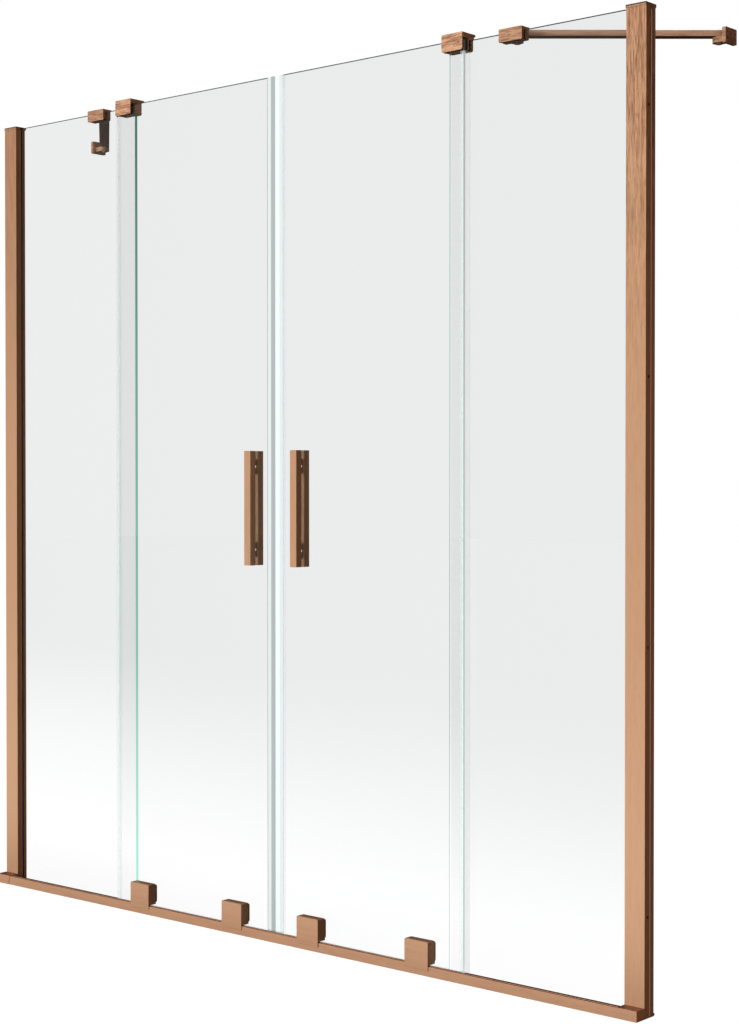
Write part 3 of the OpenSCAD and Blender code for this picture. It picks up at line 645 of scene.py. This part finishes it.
# Painted shade: the leg ends are darker, dense on the left seal and faint on the right.
LEG_END_X = 0.0181
LEFT_LEG_END_SHADE = (0.13, 0.15, 0.145, 1)
LEFT_LEG_END_SHADE_COVER = 0.9
RIGHT_LEG_END_SHADE = (0.30, 0.34, 0.34, 1)
RIGHT_LEG_END_SHADE_COVER = 0.12


def magnet_zones():
    """Node group: a dense nose where the magnet is, thin back legs and painted shade at the end
    of each leg.
    """
    group, nodes, links, given, result = effect(
        "Magnet seal zones",
        {"Cover": "Float", "Nose": "Color", "Lip": "Color", "Dense": "Float"},
        {"Color": "Color", "Cover": "Float"})
    place = place_of(nodes)
    back_leg = zone(nodes, links, place, "Y", "GREATER_THAN", BACK_LEG_Y)
    shaded_leg_end = zone(nodes, links, place, "size of X", "GREATER_THAN", LEG_END_X)
    nose = zone(nodes, links, place, "size of X", "LESS_THAN", NOSE_X)
    cover = mixed(nodes, links, back_leg, given["Cover"], BACK_LEG_COVER, "FLOAT")
    cover = mixed(nodes, links, shaded_leg_end, cover, given["Dense"], "FLOAT")
    links.new(mixed(nodes, links, nose, cover, NOSE_COVER, "FLOAT"), result["Cover"])
    tint = mixed(nodes, links, shaded_leg_end, MAGNET_VINYL, given["Lip"])
    links.new(mixed(nodes, links, nose, tint, given["Nose"]), result["Color"])
    return group


MAGNET_ZONES = magnet_zones()


def magnet_vinyl(name, nose, shaded_leg_end, shaded_leg_end_cover):
    """Clear vinyl round a magnet strip, which shows through the nose."""
    material = clear_vinyl(name, MAGNET_PAINTED_GLOW, MAGNET_COVER)
    nodes, links = material.node_tree.nodes, material.node_tree.links
    shader = nodes["Principled BSDF"].inputs
    zones = placed(nodes, links, MAGNET_ZONES, Cover=shader["Alpha"].links[0].from_socket,
                   Nose=nose, Lip=shaded_leg_end, Dense=shaded_leg_end_cover)
    links.new(zones["Color"], shader["Base Color"])
    links.new(zones["Color"], shader["Emission Color"])
    links.new(zones["Cover"], shader["Alpha"])
    return material


vinyl = clear_vinyl("Clear vinyl", SEAL_PAINTED_GLOW, SEAL_COVER)
for side in ("left", "right"):
    finish(f"{side}_outer_seal", vinyl)
    finish(f"{side}_bottom_seal", vinyl)
finish("left_magnet_seal",
       magnet_vinyl("Clear vinyl, left magnet", LEFT_NOSE, LEFT_LEG_END_SHADE, LEFT_LEG_END_SHADE_COVER))
finish("right_magnet_seal",
       magnet_vinyl("Clear vinyl, right magnet", RIGHT_NOSE, RIGHT_LEG_END_SHADE, RIGHT_LEG_END_SHADE_COVER))

# Handles: a square bar on each face of the door, cut from solid stock and lacquered, with flat
# nylon feet that keep it off the glass. Thin clear strips lie behind the outer bar. The strips
# glow, painted light for the light line along the gap, and the feet glow a little, painted light
# so that they aren't black against the glass.
NYLON = (0.028, 0.022, 0.018, 1)
NYLON_WORN = (0.060, 0.050, 0.042, 1)
NYLON_ROUGHNESS = 0.5
FOOT_NYLON = (0.26, 0.17, 0.13, 1)
FOOT_NYLON_WORN = (0.34, 0.23, 0.18, 1)
FOOT_PAINTED_GLOW = (1.0, 0.5, 0.35, 1)
FOOT_PAINTED_GLOW_STRENGTH = 0.045
STEEL_DARK = (0.52, 0.52, 0.52, 1)
STEEL_LIGHT = (0.68, 0.68, 0.68, 1)
STEEL_ROUGHNESS = (0.2, 0.36)
TURNING_SCALE = 1400
STRIP_COLOUR = (0.70, 0.66, 0.63, 1)
STRIP_PAINTED_GLOW = 1.1
STRIP_COVER = (0.9, 0.95)
STRIP_RUNS_Z = ((0.6512, 0.6642), (0.6908, 0.8092), (0.8358, 0.8488))
STRIP_GAP = 0.00015
STRIP_INSET = 0.0006
STRIP_THICK = 0.0002
STRIP_BEVEL = 0.00008
TAB_MIDDLES_Z = (0.6775, 0.8225)
TAB_THICK = 0.0010
TAB_HALF = 0.0017


def turned_steel(name):
    """Stainless steel with fine turning marks."""
    material, nodes, links, shader = new_material(name)
    shader.inputs["Metallic"].default_value = 1.0
    marks = noise(nodes, links, place_of(nodes), TURNING_SCALE)
    links.new(mixed(nodes, links, marks, STEEL_DARK, STEEL_LIGHT), shader.inputs["Base Color"])
    rough = mapped(nodes, links, marks, target=STEEL_ROUGHNESS)
    links.new(rough, shader.inputs["Roughness"])
    return material


dark_nylon = moulded("Dark nylon", NYLON, NYLON_WORN, NYLON_ROUGHNESS)
steel = turned_steel("Stainless steel")
# Painted light: the feet glow a little.
foot_nylon = glowing(moulded("Foot nylon", FOOT_NYLON, FOOT_NYLON_WORN, NYLON_ROUGHNESS),
                     FOOT_PAINTED_GLOW, FOOT_PAINTED_GLOW_STRENGTH)
# Painted light: the strips glow and show as a light line behind the bar.
strip_vinyl = clear_vinyl("Clear vinyl, strips", STRIP_PAINTED_GLOW, STRIP_COVER, STRIP_COLOUR)
for side in ("left", "right"):
    for bar in ("outer_handle", "inner_handle"):
        finish(f"{side}_{bar}", upright_copper, EDGE_BEVEL)
    low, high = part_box(f"{side}_outer_handle")
    foot_low, foot_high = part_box(f"{side}_handle_feet")
    left_edge, right_edge = low[0] + STRIP_INSET, high[0] - STRIP_INSET
    front = high[1] + STRIP_GAP
    runs = [(left_edge, right_edge, bottom, top, front + STRIP_THICK)
            for bottom, top in STRIP_RUNS_Z]
    for middle in TAB_MIDDLES_Z:
        for left_x, right_x in ((left_edge, foot_low[0] - STRIP_GAP),
                                (foot_high[0] + STRIP_GAP, right_edge)):
            runs.append((left_x, right_x, middle - TAB_HALF, middle + TAB_HALF,
                         front + TAB_THICK))
    for number, (left_x, right_x, bottom, top, back) in enumerate(runs, 1):
        outline = [(left_x, front), (right_x, front), (right_x, back), (left_x, back)]
        strip = extruded(f"{side}_handle_strip_{number}", outline, bottom, top - bottom, "Z")
        strip.data.materials.append(strip_vinyl)
        soft = strip.modifiers.new("Soft edges", "BEVEL")
        soft.width = STRIP_BEVEL
        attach(strip, f"{side}_door")
    finish(f"{side}_handle_feet", foot_nylon)
    finish(f"{side}_handle_fixings", steel)

# Rollers: a nylon wheel turns on a steel axle in a moulded carriage, which is screwed through
# the glass to a backing plate. A cast cover clips over each one and hides it.
WHEEL_WHITE = (0.62, 0.62, 0.59, 1)
WHEEL_WORN = (0.42, 0.42, 0.40, 1)
WHEEL_ROUGHNESS = 0.42
COVER_LIGHT = (0.690, 0.415, 0.250, 1)
wheel_nylon = moulded("Wheel nylon", WHEEL_WHITE, WHEEL_WORN, WHEEL_ROUGHNESS)
cover_copper = brushed_copper("Copper, roller covers", "X", light=COVER_LIGHT)
for side in ("left", "right"):
    finish(f"{side}_roller_covers", cover_copper, EDGE_BEVEL)
    finish(f"{side}_carriages", dark_nylon)
    finish(f"{side}_backing_plates", dark_nylon)
    finish(f"{side}_carriage_screws", steel)
    finish(f"{side}_axles", steel)
    for wheel in ("outer_wheel", "inner_wheel"):
        finish(f"{side}_{wheel}", wheel_nylon)

# Top guides: a cast block grips the corner of each fixed pane and keeps the door pane in a
# lined slot. A thin cap is pressed on from above. The castings have a short, strong grain.
CAST_LIGHT = (0.82, 0.505, 0.315, 1)
CAST_GRAIN_SIZE = (1.2, 0.15)
CAST_GRAIN = 1.4
cast_copper = brushed_copper("Copper, cast pieces", "X", size=CAST_GRAIN_SIZE,
                             strength=CAST_GRAIN, light=CAST_LIGHT)
for side in ("left", "right"):
    finish(f"{side}_guide_block", cast_copper, EDGE_BEVEL)
finish("guide_caps", cast_copper, EDGE_BEVEL)
finish("guide_liners", dark_nylon)
finish("guide_screws", steel)

# Support arms: a flat bar from a clamp on the fixed pane to a bracket on the side wall, with a
# pivot pin at each end. Cast and lacquered like the rest, with painted shade on the underside.
ARM_ANGLE = math.radians(41)
ARM_GRAIN = 0.45
ARM_LIGHT = (0.70, 0.44, 0.30, 1)
ARM_UNDERSIDE_SHADE = (0.16, 0.08, 0.05, 1)
UNDERSIDE_FACING = 0.6
CLAMP_LIGHT = (0.61, 0.375, 0.235, 1)
clamp_copper = brushed_copper("Copper, clamps and brackets", "X", size=CAST_GRAIN_SIZE,
                              strength=CAST_GRAIN, light=CLAMP_LIGHT)
for side, turn in (("left", ARM_ANGLE), ("right", -ARM_ANGLE)):
    arm_copper = brushed_copper(f"Copper, {side} arm", "X", turn, strength=ARM_GRAIN,
                                light=ARM_LIGHT)
    # Painted shade on the arm's underside.
    tinted(arm_copper, LEVEL_SHADE, Tint=ARM_UNDERSIDE_SHADE, Side=-1.0, Limit=UNDERSIDE_FACING)
    finish(f"{side}_arm", arm_copper, EDGE_BEVEL)
    finish(f"{side}_arm_clamp", clamp_copper, EDGE_BEVEL)
    finish(f"{side}_wall_bracket", clamp_copper, EDGE_BEVEL)
    finish(f"{side}_arm_pins", steel)
finish("clamp_screws", steel)
finish("profile_screws", steel)

# Studio: a pale floor under the rail and a white surround, seen straight and through the glass.
# The light comes from the front and a little from the left, so that the faces on the right and
# the undersides stay in shade.
FLOOR_HALF = 20
FLOOR_DROP = 0.0005
FLOOR_COLOUR = (0.08, 0.08, 0.08, 1)
FLOOR_ROUGHNESS = 0.9
FLOOR_GLOW = (0.985, 0.995, 1.0, 1)
FLOOR_RISE_Y = (-4.0, -0.9)
FLOOR_FALL_Y = (-0.45, -0.02)
FRONT = (0.0, -1.0, 0.0)
FRONT_SPREAD = (0.0, 0.9)
MIRRORED_ROOM = (0.05, 0.8)
ROOM_LEVEL = 0.41
ROOM_WARM = (1.0, 0.62, 0.44, 1)
MIRRORED_WARM = (1.0, 0.88, 0.80, 1)
WHITE = (1, 1, 1, 1)
NO_BOUNCE = 0.5
SUN_ENERGY = 3.5
SUN_ANGLE = math.radians(18)
SUN_DIRECTION = (-0.16, -0.97, 0.12)


def seen_as_background(nodes, links, path):
    """1 for the rays that show the background: straight from the camera or through glass."""
    direct = calculated(nodes, links, "MAXIMUM", path["Is Camera Ray"],
                        path["Is Transmission Ray"])
    bounces = calculated(nodes, links, "ADD", path["Diffuse Depth"], path["Glossy Depth"])
    straight = calculated(nodes, links, "LESS_THAN", bounces, NO_BOUNCE)
    return calculated(nodes, links, "MULTIPLY", direct, straight)


floor_mesh = bpy.data.meshes.new("Floor")
corners = [(-FLOOR_HALF, -FLOOR_HALF, 0), (FLOOR_HALF, -FLOOR_HALF, 0),
           (FLOOR_HALF, FLOOR_HALF, 0), (-FLOOR_HALF, FLOOR_HALF, 0)]
floor_mesh.from_pydata(corners, [], [(0, 1, 2, 3)])
floor = bpy.data.objects.new("Floor", floor_mesh)
floor.location.z = -FLOOR_DROP
bpy.context.collection.objects.link(floor)

floor_material, nodes, links, floor_shader = new_material("Pale floor")
floor_shader.inputs["Base Color"].default_value = FLOOR_COLOUR
floor_shader.inputs["Roughness"].default_value = FLOOR_ROUGHNESS
floor_shader.inputs["Specular IOR Level"].default_value = 0.0
floor_y = part_of(nodes, links, place_of(nodes), "Y")
near_front = mapped(nodes, links, floor_y, FLOOR_RISE_Y, smooth=True)
before_screen = mapped(nodes, links, floor_y, FLOOR_FALL_Y, (1.0, 0.0), smooth=True)
bright_patch = calculated(nodes, links, "MULTIPLY", near_front, before_screen)
path = nodes.new("ShaderNodeLightPath").outputs
seen = seen_as_background(nodes, links, path)
in_mirror = calculated(nodes, links, "GREATER_THAN", path["Is Glossy Ray"], seen)
mirrored = calculated(nodes, links, "MULTIPLY", bright_patch, in_mirror)
floor_shader.inputs["Emission Color"].default_value = FLOOR_GLOW
links.new(calculated(nodes, links, "ADD", seen, mirrored),
          floor_shader.inputs["Emission Strength"])
floor_mesh.materials.append(floor_material)

world = bpy.data.worlds.new("Studio")
world.use_nodes = True
bpy.context.scene.world = world
nodes, links = world.node_tree.nodes, world.node_tree.links
room = nodes["Background"]
path = nodes.new("ShaderNodeLightPath").outputs
seen = seen_as_background(nodes, links, path)
towards_front = nodes.new("ShaderNodeVectorMath")
towards_front.operation = "DOT_PRODUCT"
towards_front.inputs[1].default_value = FRONT
links.new(nodes.new("ShaderNodeTexCoord").outputs["Generated"], towards_front.inputs[0])
front_glow = mapped(nodes, links, towards_front.outputs["Value"], FRONT_SPREAD, MIRRORED_ROOM,
                    smooth=True)
lit = mixed(nodes, links, path["Is Glossy Ray"], ROOM_LEVEL, front_glow, "FLOAT")
links.new(mixed(nodes, links, seen, lit, 1.0, "FLOAT"), room.inputs["Strength"])
warmth = mixed(nodes, links, path["Is Glossy Ray"], ROOM_WARM, MIRRORED_WARM)
links.new(mixed(nodes, links, seen, warmth, WHITE), room.inputs["Color"])

sun_data = bpy.data.lights.new("Key light", "SUN")
sun_data.energy = SUN_ENERGY
sun_data.angle = SUN_ANGLE
sun = bpy.data.objects.new("Key light", sun_data)
sun.rotation_euler = Vector(SUN_DIRECTION).to_track_quat("Z", "Y").to_euler()
sun.visible_camera = False
sun.visible_glossy = False
sun.visible_transmission = False
bpy.context.collection.objects.link(sun)

# Camera: at the photograph's place, found by fitting the straight edges of the screen. It stands
# to the right of the screen, at half its height, and looks down a little.
CAMERA_PLACE = (2.2585, -2.3531, 0.7882)
CAMERA_TURN = 41.016
CAMERA_DOWN = 0.783
SENSOR_HEIGHT = 36
FOCAL_LENGTH = 66.06
lens = bpy.data.cameras.new("Camera")
lens.sensor_fit = "VERTICAL"
lens.sensor_height = SENSOR_HEIGHT
lens.lens = FOCAL_LENGTH
camera = bpy.data.objects.new("Camera", lens)
camera.location = CAMERA_PLACE
camera.rotation_euler = (math.radians(90 - CAMERA_DOWN), 0, math.radians(CAMERA_TURN))
bpy.context.collection.objects.link(camera)
bpy.context.scene.camera = camera
bpy.context.scene.view_settings.view_transform = "Standard"
